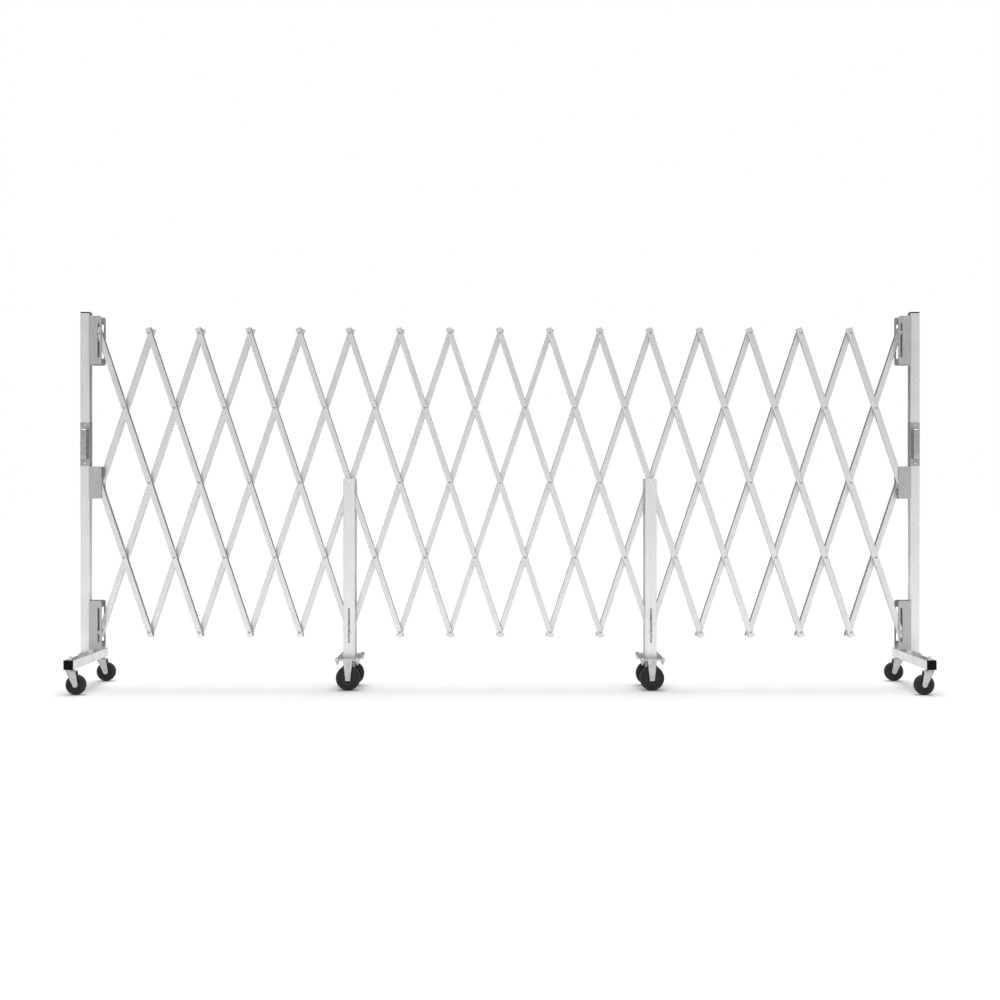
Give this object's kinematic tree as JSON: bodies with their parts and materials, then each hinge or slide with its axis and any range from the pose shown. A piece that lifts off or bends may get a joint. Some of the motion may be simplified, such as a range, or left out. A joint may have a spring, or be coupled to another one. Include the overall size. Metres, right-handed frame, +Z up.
{
  "type": "expanding crowd control barrier",
  "caption": "Aluminium scissor-lattice barrier that folds and expands between two posts on swivel casters, with wheeled middle supports.",
  "frame": {"origin": "on the floor under the middle of the barrier, the middle of the bounding box's underside", "axes": "+X along the barrier to the right seen from the front, +Y from front to rear, +Z up"},
  "size_m": [3.4572, 0.486, 1.55],
  "materials": {
    "lath_aluminium": "mill finish, satin",
    "post_aluminium": "mill finish, satin",
    "galvanised_steel": "galvanised, matt",
    "zinc_plate": "zinc plated, satin",
    "black_plastic": "moulded black plastic",
    "wheel_rubber": "hard rubber, matt charcoal"
  },
  "bodies": {
    "front_lath_01": {"front_lath_01": "lath_aluminium"},
    "front_lath_02": {"front_lath_02": "lath_aluminium"},
    "front_lath_03": {"front_lath_03": "lath_aluminium"},
    "front_lath_04": {"front_lath_04": "lath_aluminium"},
    "front_lath_05": {"front_lath_05": "lath_aluminium"},
    "front_lath_06": {"front_lath_06": "lath_aluminium"},
    "front_lath_07": {"front_lath_07": "lath_aluminium"},
    "front_lath_08": {"front_lath_08": "lath_aluminium"},
    "front_lath_09": {"front_lath_09": "lath_aluminium"},
    "front_lath_10": {"front_lath_10": "lath_aluminium"},
    "front_lath_11": {"front_lath_11": "lath_aluminium"},
    "front_lath_12": {"front_lath_12": "lath_aluminium"},
    "front_lath_13": {"front_lath_13": "lath_aluminium"},
    "front_lath_14": {"front_lath_14": "lath_aluminium"},
    "front_lath_15": {"front_lath_15": "lath_aluminium"},
    "front_lath_16": {"front_lath_16": "lath_aluminium"},
    "front_lath_17": {"front_lath_17": "lath_aluminium"},
    "rear_lath_01": {"rear_lath_01": "lath_aluminium"},
    "rear_lath_02": {"rear_lath_02": "lath_aluminium"},
    "rear_lath_03": {"rear_lath_03": "lath_aluminium"},
    "rear_lath_04": {"rear_lath_04": "lath_aluminium"},
    "rear_lath_05": {"rear_lath_05": "lath_aluminium"},
    "rear_lath_06": {"rear_lath_06": "lath_aluminium"},
    "rear_lath_07": {"rear_lath_07": "lath_aluminium"},
    "rear_lath_08": {"rear_lath_08": "lath_aluminium"},
    "rear_lath_09": {"rear_lath_09": "lath_aluminium"},
    "rear_lath_10": {"rear_lath_10": "lath_aluminium"},
    "rear_lath_11": {"rear_lath_11": "lath_aluminium"},
    "rear_lath_12": {"rear_lath_12": "lath_aluminium"},
    "rear_lath_13": {"rear_lath_13": "lath_aluminium"},
    "rear_lath_14": {"rear_lath_14": "lath_aluminium"},
    "rear_lath_15": {"rear_lath_15": "lath_aluminium"},
    "rear_lath_16": {"rear_lath_16": "lath_aluminium"},
    "rear_lath_17": {"rear_lath_17": "lath_aluminium"},
    "left_end_frame": {"left_post": "post_aluminium", "left_foot_tube": "post_aluminium", "left_guide_brackets": "galvanised_steel", "left_end_caps": "black_plastic", "left_handle_and_fasteners": "zinc_plate"},
    "left_support": {"left_support_uprights": "post_aluminium", "left_support_caster_frame": "zinc_plate"},
    "right_end_frame": {"right_post": "post_aluminium", "right_foot_tube": "post_aluminium", "right_guide_brackets": "galvanised_steel", "right_end_caps": "black_plastic", "right_handle_and_fasteners": "zinc_plate"},
    "right_support": {"right_support_uprights": "post_aluminium", "right_support_caster_frame": "zinc_plate"},
    "left_front_caster_fork": {"left_front_caster_fork": "zinc_plate"},
    "left_front_caster_wheel": {"left_front_caster_wheel": "wheel_rubber"},
    "left_rear_caster_fork": {"left_rear_caster_fork": "zinc_plate"},
    "left_rear_caster_wheel": {"left_rear_caster_wheel": "wheel_rubber"},
    "right_front_caster_fork": {"right_front_caster_fork": "zinc_plate"},
    "right_front_caster_wheel": {"right_front_caster_wheel": "wheel_rubber"},
    "right_rear_caster_fork": {"right_rear_caster_fork": "zinc_plate"},
    "right_rear_caster_wheel": {"right_rear_caster_wheel": "wheel_rubber"},
    "left_support_front_wheel": {"left_support_front_wheel": "wheel_rubber"},
    "left_support_rear_wheel": {"left_support_rear_wheel": "wheel_rubber"},
    "right_support_front_wheel": {"right_support_front_wheel": "wheel_rubber"},
    "right_support_rear_wheel": {"right_support_rear_wheel": "wheel_rubber"}
  },
  "joints": [
    {"name": "lattice_fold", "type": "hinge", "parent": "left_support", "child": "front_lath_06", "pos_m": [-0.61874, 0, 0.84681], "axis": [0, -1, 0], "range_deg": [-15.5, 18]},
    {"name": "rear_lath_06_pivot", "type": "hinge", "parent": "left_support", "child": "rear_lath_06", "pos_m": [-0.61874, 0, 0.84681], "axis": [0, 1, 0], "range_deg": [-15.5, 18]},
    {"name": "rear_lath_04_pivot", "type": "hinge", "parent": "front_lath_06", "child": "rear_lath_04", "pos_m": [-0.82499, 0, 1.46322], "axis": [0, 1, 0], "range_deg": [-31, 36]},
    {"name": "rear_lath_08_pivot", "type": "hinge", "parent": "front_lath_06", "child": "rear_lath_08", "pos_m": [-0.4125, 0, 0.2304], "axis": [0, 1, 0], "range_deg": [-31, 36]},
    {"name": "rear_lath_05_pivot", "type": "hinge", "parent": "front_lath_06", "child": "rear_lath_05", "pos_m": [-0.72187, 0, 1.15501], "axis": [0, 1, 0], "range_deg": [-31, 36]},
    {"name": "rear_lath_07_pivot", "type": "hinge", "parent": "front_lath_06", "child": "rear_lath_07", "pos_m": [-0.51562, 0, 0.5386], "axis": [0, 1, 0], "range_deg": [-31, 36]},
    {"name": "front_lath_04_pivot", "type": "hinge", "parent": "rear_lath_06", "child": "front_lath_04", "pos_m": [-0.82499, 0, 0.2304], "axis": [0, -1, 0], "range_deg": [-31, 36]},
    {"name": "front_lath_08_pivot", "type": "hinge", "parent": "rear_lath_06", "child": "front_lath_08", "pos_m": [-0.4125, 0, 1.46322], "axis": [0, -1, 0], "range_deg": [-31, 36]},
    {"name": "front_lath_05_pivot", "type": "hinge", "parent": "rear_lath_06", "child": "front_lath_05", "pos_m": [-0.72187, 0, 0.5386], "axis": [0, -1, 0], "range_deg": [-31, 36]},
    {"name": "front_lath_07_pivot", "type": "hinge", "parent": "rear_lath_06", "child": "front_lath_07", "pos_m": [-0.51562, 0, 1.15501], "axis": [0, -1, 0], "range_deg": [-31, 36]},
    {"name": "front_lath_02_pivot", "type": "hinge", "parent": "rear_lath_04", "child": "front_lath_02", "pos_m": [-1.23749, 0, 0.2304], "axis": [0, -1, 0], "range_deg": [-31, 36]},
    {"name": "front_lath_03_pivot", "type": "hinge", "parent": "rear_lath_04", "child": "front_lath_03", "pos_m": [-1.13436, 0, 0.5386], "axis": [0, -1, 0], "range_deg": [-31, 36]},
    {"name": "front_lath_10_pivot", "type": "hinge", "parent": "rear_lath_08", "child": "front_lath_10", "pos_m": [0, 0, 1.46322], "axis": [0, -1, 0], "range_deg": [-31, 36]},
    {"name": "front_lath_09_pivot", "type": "hinge", "parent": "rear_lath_08", "child": "front_lath_09", "pos_m": [-0.10312, 0, 1.15501], "axis": [0, -1, 0], "range_deg": [-31, 36]},
    {"name": "rear_lath_02_pivot", "type": "hinge", "parent": "front_lath_04", "child": "rear_lath_02", "pos_m": [-1.23749, 0, 1.46322], "axis": [0, 1, 0], "range_deg": [-31, 36]},
    {"name": "rear_lath_03_pivot", "type": "hinge", "parent": "front_lath_04", "child": "rear_lath_03", "pos_m": [-1.13436, 0, 1.15501], "axis": [0, 1, 0], "range_deg": [-31, 36]},
    {"name": "rear_lath_10_pivot", "type": "hinge", "parent": "front_lath_08", "child": "rear_lath_10", "pos_m": [0, 0, 0.2304], "axis": [0, 1, 0], "range_deg": [-31, 36]},
    {"name": "rear_lath_09_pivot", "type": "hinge", "parent": "front_lath_08", "child": "rear_lath_09", "pos_m": [-0.10312, 0, 0.5386], "axis": [0, 1, 0], "range_deg": [-31, 36]},
    {"name": "rear_lath_01_pivot", "type": "hinge", "parent": "front_lath_02", "child": "rear_lath_01", "pos_m": [-1.54686, 0, 1.15501], "axis": [0, 1, 0], "range_deg": [-31, 36]},
    {"name": "rear_lath_12_pivot", "type": "hinge", "parent": "front_lath_10", "child": "rear_lath_12", "pos_m": [0.4125, 0, 0.2304], "axis": [0, 1, 0], "range_deg": [-31, 36]},
    {"name": "rear_lath_11_pivot", "type": "hinge", "parent": "front_lath_10", "child": "rear_lath_11", "pos_m": [0.30937, 0, 0.5386], "axis": [0, 1, 0], "range_deg": [-31, 36]},
    {"name": "front_lath_01_pivot", "type": "hinge", "parent": "rear_lath_02", "child": "front_lath_01", "pos_m": [-1.54686, 0, 0.5386], "axis": [0, -1, 0], "range_deg": [-31, 36]},
    {"name": "front_lath_12_pivot", "type": "hinge", "parent": "rear_lath_10", "child": "front_lath_12", "pos_m": [0.4125, 0, 1.46322], "axis": [0, -1, 0], "range_deg": [-31, 36]},
    {"name": "front_lath_11_pivot", "type": "hinge", "parent": "rear_lath_10", "child": "front_lath_11", "pos_m": [0.30937, 0, 1.15501], "axis": [0, -1, 0], "range_deg": [-31, 36]},
    {"name": "left_end_frame_pivot", "type": "hinge", "parent": "rear_lath_01", "child": "left_end_frame", "pos_m": [-1.64998, 0, 0.84681], "axis": [0, -1, 0], "range_deg": [-15.5, 18]},
    {"name": "front_lath_14_pivot", "type": "hinge", "parent": "rear_lath_12", "child": "front_lath_14", "pos_m": [0.82499, 0, 1.46322], "axis": [0, -1, 0], "range_deg": [-31, 36]},
    {"name": "front_lath_13_pivot", "type": "hinge", "parent": "rear_lath_12", "child": "front_lath_13", "pos_m": [0.72187, 0, 1.15501], "axis": [0, -1, 0], "range_deg": [-31, 36]},
    {"name": "right_support_pivot", "type": "hinge", "parent": "rear_lath_12", "child": "right_support", "pos_m": [0.61874, 0, 0.84681], "axis": [0, -1, 0], "range_deg": [-15.5, 18]},
    {"name": "rear_lath_14_pivot", "type": "hinge", "parent": "front_lath_12", "child": "rear_lath_14", "pos_m": [0.82499, 0, 0.2304], "axis": [0, 1, 0], "range_deg": [-31, 36]},
    {"name": "rear_lath_13_pivot", "type": "hinge", "parent": "front_lath_12", "child": "rear_lath_13", "pos_m": [0.72187, 0, 0.5386], "axis": [0, 1, 0], "range_deg": [-31, 36]},
    {"name": "rear_lath_16_pivot", "type": "hinge", "parent": "front_lath_14", "child": "rear_lath_16", "pos_m": [1.23749, 0, 0.2304], "axis": [0, 1, 0], "range_deg": [-31, 36]},
    {"name": "rear_lath_15_pivot", "type": "hinge", "parent": "front_lath_14", "child": "rear_lath_15", "pos_m": [1.13436, 0, 0.5386], "axis": [0, 1, 0], "range_deg": [-31, 36]},
    {"name": "front_lath_16_pivot", "type": "hinge", "parent": "rear_lath_14", "child": "front_lath_16", "pos_m": [1.23749, 0, 1.46322], "axis": [0, -1, 0], "range_deg": [-31, 36]},
    {"name": "front_lath_15_pivot", "type": "hinge", "parent": "rear_lath_14", "child": "front_lath_15", "pos_m": [1.13436, 0, 1.15501], "axis": [0, -1, 0], "range_deg": [-31, 36]},
    {"name": "front_lath_17_pivot", "type": "hinge", "parent": "rear_lath_16", "child": "front_lath_17", "pos_m": [1.54686, 0, 1.15501], "axis": [0, -1, 0], "range_deg": [-31, 36]},
    {"name": "rear_lath_17_pivot", "type": "hinge", "parent": "front_lath_16", "child": "rear_lath_17", "pos_m": [1.54686, 0, 0.5386], "axis": [0, 1, 0], "range_deg": [-31, 36]},
    {"name": "right_end_frame_pivot", "type": "hinge", "parent": "front_lath_17", "child": "right_end_frame", "pos_m": [1.64998, 0, 0.84681], "axis": [0, 1, 0], "range_deg": [-15.5, 18]},
    {"name": "left_front_caster_swivel", "type": "hinge", "parent": "left_end_frame", "child": "left_front_caster_fork", "pos_m": [-1.70953, -0.213, 0.1017], "axis": [0, 0, 1], "continuous": true},
    {"name": "left_front_caster_roll", "type": "hinge", "parent": "left_front_caster_fork", "child": "left_front_caster_wheel", "pos_m": [-1.68703, -0.213, 0.0405], "axis": [0, 1, 0], "continuous": true},
    {"name": "left_rear_caster_swivel", "type": "hinge", "parent": "left_end_frame", "child": "left_rear_caster_fork", "pos_m": [-1.70953, 0.213, 0.1017], "axis": [0, 0, 1], "continuous": true},
    {"name": "left_rear_caster_roll", "type": "hinge", "parent": "left_rear_caster_fork", "child": "left_rear_caster_wheel", "pos_m": [-1.68703, 0.213, 0.0405], "axis": [0, 1, 0], "continuous": true},
    {"name": "right_front_caster_swivel", "type": "hinge", "parent": "right_end_frame", "child": "right_front_caster_fork", "pos_m": [1.70953, -0.213, 0.1017], "axis": [0, 0, 1], "continuous": true},
    {"name": "right_front_caster_roll", "type": "hinge", "parent": "right_front_caster_fork", "child": "right_front_caster_wheel", "pos_m": [1.68703, -0.213, 0.0405], "axis": [0, 1, 0], "continuous": true},
    {"name": "right_rear_caster_swivel", "type": "hinge", "parent": "right_end_frame", "child": "right_rear_caster_fork", "pos_m": [1.70953, 0.213, 0.1017], "axis": [0, 0, 1], "continuous": true},
    {"name": "right_rear_caster_roll", "type": "hinge", "parent": "right_rear_caster_fork", "child": "right_rear_caster_wheel", "pos_m": [1.68703, 0.213, 0.0405], "axis": [0, 1, 0], "continuous": true},
    {"name": "left_support_front_roll", "type": "hinge", "parent": "left_support", "child": "left_support_front_wheel", "pos_m": [-0.61874, -0.082, 0.05], "axis": [0, 1, 0], "continuous": true},
    {"name": "left_support_rear_roll", "type": "hinge", "parent": "left_support", "child": "left_support_rear_wheel", "pos_m": [-0.61874, 0.082, 0.05], "axis": [0, 1, 0], "continuous": true},
    {"name": "right_support_front_roll", "type": "hinge", "parent": "right_support", "child": "right_support_front_wheel", "pos_m": [0.61874, -0.082, 0.05], "axis": [0, 1, 0], "continuous": true},
    {"name": "right_support_rear_roll", "type": "hinge", "parent": "right_support", "child": "right_support_rear_wheel", "pos_m": [0.61874, 0.082, 0.05], "axis": [0, 1, 0], "continuous": true}
  ],
  "couplings": [
    {"joint": "rear_lath_06_pivot", "follows": "lattice_fold", "ratio": 1},
    {"joint": "rear_lath_04_pivot", "follows": "lattice_fold", "ratio": 2},
    {"joint": "rear_lath_08_pivot", "follows": "lattice_fold", "ratio": 2},
    {"joint": "rear_lath_05_pivot", "follows": "lattice_fold", "ratio": 2},
    {"joint": "rear_lath_07_pivot", "follows": "lattice_fold", "ratio": 2},
    {"joint": "front_lath_04_pivot", "follows": "lattice_fold", "ratio": 2},
    {"joint": "front_lath_08_pivot", "follows": "lattice_fold", "ratio": 2},
    {"joint": "front_lath_05_pivot", "follows": "lattice_fold", "ratio": 2},
    {"joint": "front_lath_07_pivot", "follows": "lattice_fold", "ratio": 2},
    {"joint": "front_lath_02_pivot", "follows": "lattice_fold", "ratio": 2},
    {"joint": "front_lath_03_pivot", "follows": "lattice_fold", "ratio": 2},
    {"joint": "front_lath_10_pivot", "follows": "lattice_fold", "ratio": 2},
    {"joint": "front_lath_09_pivot", "follows": "lattice_fold", "ratio": 2},
    {"joint": "rear_lath_02_pivot", "follows": "lattice_fold", "ratio": 2},
    {"joint": "rear_lath_03_pivot", "follows": "lattice_fold", "ratio": 2},
    {"joint": "rear_lath_10_pivot", "follows": "lattice_fold", "ratio": 2},
    {"joint": "rear_lath_09_pivot", "follows": "lattice_fold", "ratio": 2},
    {"joint": "rear_lath_01_pivot", "follows": "lattice_fold", "ratio": 2},
    {"joint": "rear_lath_12_pivot", "follows": "lattice_fold", "ratio": 2},
    {"joint": "rear_lath_11_pivot", "follows": "lattice_fold", "ratio": 2},
    {"joint": "front_lath_01_pivot", "follows": "lattice_fold", "ratio": 2},
    {"joint": "front_lath_12_pivot", "follows": "lattice_fold", "ratio": 2},
    {"joint": "front_lath_11_pivot", "follows": "lattice_fold", "ratio": 2},
    {"joint": "left_end_frame_pivot", "follows": "lattice_fold", "ratio": 1},
    {"joint": "front_lath_14_pivot", "follows": "lattice_fold", "ratio": 2},
    {"joint": "front_lath_13_pivot", "follows": "lattice_fold", "ratio": 2},
    {"joint": "right_support_pivot", "follows": "lattice_fold", "ratio": 1},
    {"joint": "rear_lath_14_pivot", "follows": "lattice_fold", "ratio": 2},
    {"joint": "rear_lath_13_pivot", "follows": "lattice_fold", "ratio": 2},
    {"joint": "rear_lath_16_pivot", "follows": "lattice_fold", "ratio": 2},
    {"joint": "rear_lath_15_pivot", "follows": "lattice_fold", "ratio": 2},
    {"joint": "front_lath_16_pivot", "follows": "lattice_fold", "ratio": 2},
    {"joint": "front_lath_15_pivot", "follows": "lattice_fold", "ratio": 2},
    {"joint": "front_lath_17_pivot", "follows": "lattice_fold", "ratio": 2},
    {"joint": "rear_lath_17_pivot", "follows": "lattice_fold", "ratio": 2},
    {"joint": "right_end_frame_pivot", "follows": "lattice_fold", "ratio": 1}
  ]
}
